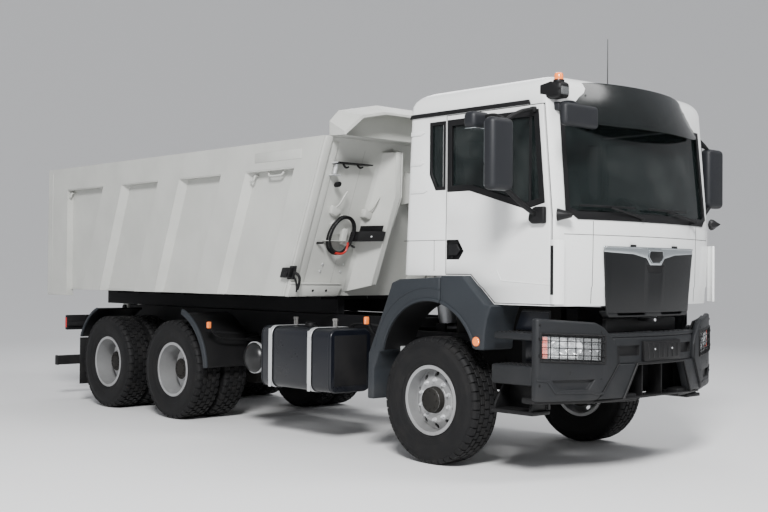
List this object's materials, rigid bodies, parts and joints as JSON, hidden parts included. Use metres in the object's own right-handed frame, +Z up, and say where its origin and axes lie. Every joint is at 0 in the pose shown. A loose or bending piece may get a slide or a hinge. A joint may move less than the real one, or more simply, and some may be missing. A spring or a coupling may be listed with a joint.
{
  "type": "dump truck",
  "caption": "Forward-control dump truck with a tilting cab, a ribbed rear-tipping steel body on a telescopic front hoist, steered front wheels and twin driven rear wheels.",
  "frame": {"origin": "on the ground under the middle of the truck's bounding box", "axes": "+X forward, +Y to the truck's left, +Z up"},
  "size_m": [8.32, 3.32, 3.64],
  "materials": {
    "body_paint": "satin off-white paint",
    "cab_paint": "gloss off-white paint",
    "chassis_paint": "black chassis paint",
    "tank_paint": "black satin paint",
    "tyre_rubber": "black rubber",
    "rim_silver": "silver wheel paint",
    "arch_plastic": "blue-grey moulded plastic",
    "bumper_paint": "dark grey satin paint",
    "black_plastic": "black moulded plastic",
    "smoked_plastic": "smoked gloss plastic",
    "window_glass": "clear laminated glass",
    "lamp_glass": "clear lamp lens",
    "cast_metal": "black cast iron",
    "hoist_steel": "ground steel tube",
    "seat_cloth": "dark grey cloth"
  },
  "bodies": {
    "chassis": {"ladder_frame": "chassis_paint", "tipper_subframe": "chassis_paint", "engine_block": "cast_metal", "radiator": "black_plastic", "front_axle_beam": "cast_metal", "leaf_springs": "cast_metal", "drive_axles": "cast_metal", "propeller_shafts": "chassis_paint", "fuel_tank": "tank_paint", "air_tanks": "tank_paint", "silencer_box": "tank_paint", "wheel_arches": "arch_plastic", "rear_mudguards": "black_plastic", "underrun_bar": "chassis_paint", "front_bumper": "bumper_paint", "headlamps": "lamp_glass", "entry_steps": "arch_plastic"},
    "cab": {"cab_shell": "cab_paint", "windscreen": "window_glass", "quarter_glass": "window_glass", "sun_visor": "smoked_plastic", "roof_lamps": "black_plastic", "front_mirror": "black_plastic", "dashboard": "black_plastic", "seats": "seat_cloth", "arch_fronts": "arch_plastic"},
    "grille": {"grille_panel": "black_plastic"},
    "bed": {"bed_tub": "body_paint", "bed_headboard": "body_paint"},
    "tailgate": {"tailgate": "body_paint"},
    "hoist": {"hoist_barrel": "chassis_paint"},
    "tie_rod": {"tie_rod": "cast_metal"},
    "hoist_stage_1": {"hoist_stage_1": "hoist_steel"},
    "hoist_stage_2": {"hoist_stage_2": "hoist_steel"},
    "hoist_stage_3": {"hoist_stage_3": "hoist_steel"},
    "hoist_stage_4": {"hoist_stage_4": "hoist_steel"},
    "door_right": {"door_right": "cab_paint", "door_glass_right": "window_glass", "mirrors_right": "black_plastic"},
    "knuckle_right": {"knuckle_right": "cast_metal"},
    "wheel_front_right": {"tyre_front_right": "tyre_rubber", "rim_front_right": "rim_silver"},
    "wheels_mid_right": {"tyres_mid_right": "tyre_rubber", "rims_mid_right": "rim_silver"},
    "wheels_rear_right": {"tyres_rear_right": "tyre_rubber", "rims_rear_right": "rim_silver"},
    "door_left": {"door_left": "cab_paint", "door_glass_left": "window_glass", "mirrors_left": "black_plastic"},
    "knuckle_left": {"knuckle_left": "cast_metal"},
    "wheel_front_left": {"tyre_front_left": "tyre_rubber", "rim_front_left": "rim_silver"},
    "wheels_mid_left": {"tyres_mid_left": "tyre_rubber", "rims_mid_left": "rim_silver"},
    "wheels_rear_left": {"tyres_rear_left": "tyre_rubber", "rims_rear_left": "rim_silver"}
  },
  "joints": [
    {"name": "cab_tilt", "type": "hinge", "parent": "chassis", "child": "cab", "pos_m": [3.86, 0, 0.9], "axis": [0, 1, 0], "range_deg": [0, 60]},
    {"name": "door_right_open", "type": "hinge", "parent": "cab", "child": "door_right", "pos_m": [3.851, -1.11, 2], "axis": [0, 0, 1], "range_deg": [0, 70]},
    {"name": "door_left_open", "type": "hinge", "parent": "cab", "child": "door_left", "pos_m": [3.851, 1.11, 2], "axis": [0, 0, -1], "range_deg": [0, 70]},
    {"name": "grille_open", "type": "hinge", "parent": "cab", "child": "grille", "pos_m": [4.057, 0, 1.857], "axis": [0, -1, 0], "range_deg": [0, 80]},
    {"name": "bed_tip", "type": "hinge", "parent": "chassis", "child": "bed", "pos_m": [-3.64, 0, 1.15], "axis": [0, -1, 0], "range_deg": [0, 50]},
    {"name": "tailgate_swing", "type": "hinge", "parent": "bed", "child": "tailgate", "pos_m": [-4.115, 0, 2.85], "axis": [0, 1, 0], "range_deg": [0, 70]},
    {"name": "hoist_swing", "type": "hinge", "parent": "chassis", "child": "hoist", "pos_m": [1.76, 0, 1.09], "axis": [0, -1, 0], "range_deg": [0, 22.5]},
    {"name": "hoist_slide_1", "type": "slide", "parent": "hoist", "child": "hoist_stage_1", "axis": [-0.1704, 0, 0.9854], "range_m": [0, 1.12]},
    {"name": "hoist_slide_2", "type": "slide", "parent": "hoist_stage_1", "child": "hoist_stage_2", "axis": [-0.1704, 0, 0.9854], "range_m": [0, 1.12]},
    {"name": "hoist_slide_3", "type": "slide", "parent": "hoist_stage_2", "child": "hoist_stage_3", "axis": [-0.1704, 0, 0.9854], "range_m": [0, 1.12]},
    {"name": "hoist_slide_4", "type": "slide", "parent": "hoist_stage_3", "child": "hoist_stage_4", "axis": [-0.1704, 0, 0.9854], "range_m": [0, 1.12]},
    {"name": "steer_right", "type": "hinge", "parent": "chassis", "child": "knuckle_right", "pos_m": [2.61, -0.84, 0.541], "axis": [0, 0, 1], "range_deg": [-38, 38]},
    {"name": "wheel_front_right_spin", "type": "hinge", "parent": "knuckle_right", "child": "wheel_front_right", "pos_m": [2.61, -1.034, 0.541], "axis": [0, 1, 0], "continuous": true},
    {"name": "wheels_mid_right_spin", "type": "hinge", "parent": "chassis", "child": "wheels_mid_right", "pos_m": [-1.322, -0.892, 0.541], "axis": [0, 1, 0], "continuous": true},
    {"name": "wheels_rear_right_spin", "type": "hinge", "parent": "chassis", "child": "wheels_rear_right", "pos_m": [-2.72, -0.892, 0.541], "axis": [0, 1, 0], "continuous": true},
    {"name": "steer_left", "type": "hinge", "parent": "chassis", "child": "knuckle_left", "pos_m": [2.61, 0.84, 0.541], "axis": [0, 0, 1], "range_deg": [-38, 38]},
    {"name": "wheel_front_left_spin", "type": "hinge", "parent": "knuckle_left", "child": "wheel_front_left", "pos_m": [2.61, 1.034, 0.541], "axis": [0, 1, 0], "continuous": true},
    {"name": "wheels_mid_left_spin", "type": "hinge", "parent": "chassis", "child": "wheels_mid_left", "pos_m": [-1.322, 0.892, 0.541], "axis": [0, 1, 0], "continuous": true},
    {"name": "wheels_rear_left_spin", "type": "hinge", "parent": "chassis", "child": "wheels_rear_left", "pos_m": [-2.72, 0.892, 0.541], "axis": [0, 1, 0], "continuous": true},
    {"name": "tie_rod_swing", "type": "hinge", "parent": "knuckle_right", "child": "tie_rod", "pos_m": [2.42, -0.84, 0.415], "axis": [0, 0, 1], "range_deg": [-38.5, 38.5]}
  ],
  "couplings": [
    {"joint": "steer_left", "follows": "steer_right", "ratio": 1},
    {"joint": "tie_rod_swing", "follows": "steer_right", "ratio": -1},
    {"joint": "hoist_swing", "follows": "bed_tip", "ratio": 0.44},
    {"joint": "hoist_slide_1", "follows": "bed_tip", "m_per_rad": 1.2634},
    {"joint": "hoist_slide_2", "follows": "bed_tip", "m_per_rad": 1.2634},
    {"joint": "hoist_slide_3", "follows": "bed_tip", "m_per_rad": 1.2634},
    {"joint": "hoist_slide_4", "follows": "bed_tip", "m_per_rad": 1.2634}
  ]
}
